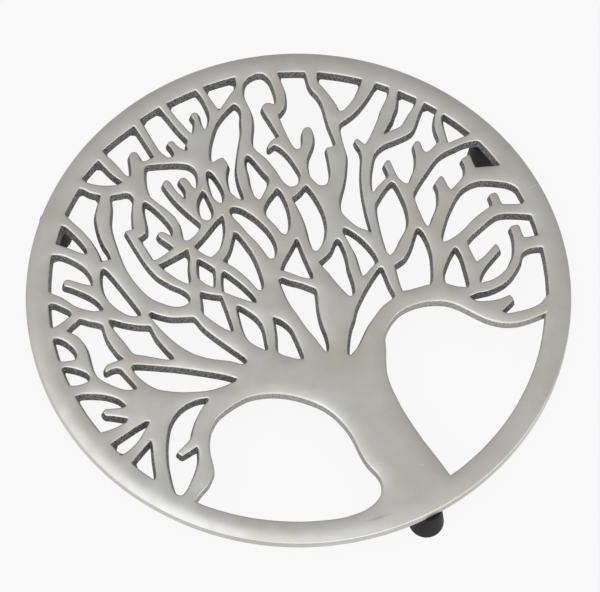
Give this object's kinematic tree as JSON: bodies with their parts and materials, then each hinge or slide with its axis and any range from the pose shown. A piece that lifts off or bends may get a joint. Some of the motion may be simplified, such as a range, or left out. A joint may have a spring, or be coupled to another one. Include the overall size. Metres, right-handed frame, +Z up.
{
  "type": "trivet",
  "caption": "Round openwork metal trivet: a tree of life pierced through a flat plate inside a plain rim, standing on rubber feet under the rim.",
  "frame": {"origin": "on the plane that the three feet stand on, under the middle of the part's outline seen from above", "axes": "+Z up, square to the plate; +Y from the foot of the tree's trunk to its crown; +X to the right of the tree seen from above"},
  "size_m": [0.203, 0.2056, 0.019],
  "materials": {
    "cast_aluminium": "satin cast metal, the top face polished and the walls of the openings rough",
    "black_rubber": "matt black rubber with a soft sheen"
  },
  "bodies": {
    "root": {"trivet_plate": "cast_aluminium", "rubber_foot_front": "black_rubber", "rubber_foot_right": "black_rubber", "rubber_foot_left": "black_rubber"}
  },
  "joints": []
}
